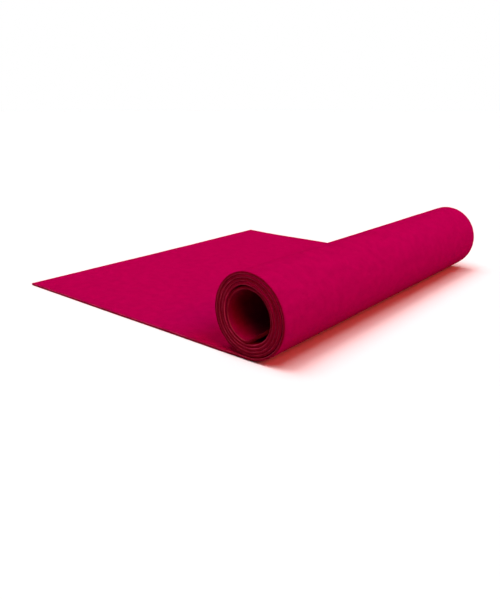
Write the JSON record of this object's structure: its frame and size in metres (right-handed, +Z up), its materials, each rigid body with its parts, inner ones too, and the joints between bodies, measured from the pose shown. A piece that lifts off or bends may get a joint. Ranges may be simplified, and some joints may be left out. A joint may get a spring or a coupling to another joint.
{
  "type": "roll of non-woven fabric",
  "caption": "Cut length of thick non-woven cloth, loosely rolled up from one end round an open bore, with its other end lying flat beside the roll.",
  "frame": {"origin": "on the surface it lies on, below the middle of the whole object's box", "axes": "+Z up, +Y along the roll and across the cloth, -X towards the loose end's free edge"},
  "size_m": [0.4606, 0.5, 0.0948],
  "materials": {
    "felt": "matte needled fibre, no weave"
  },
  "bodies": {
    "root": {"felt_web": "felt"}
  },
  "joints": []
}
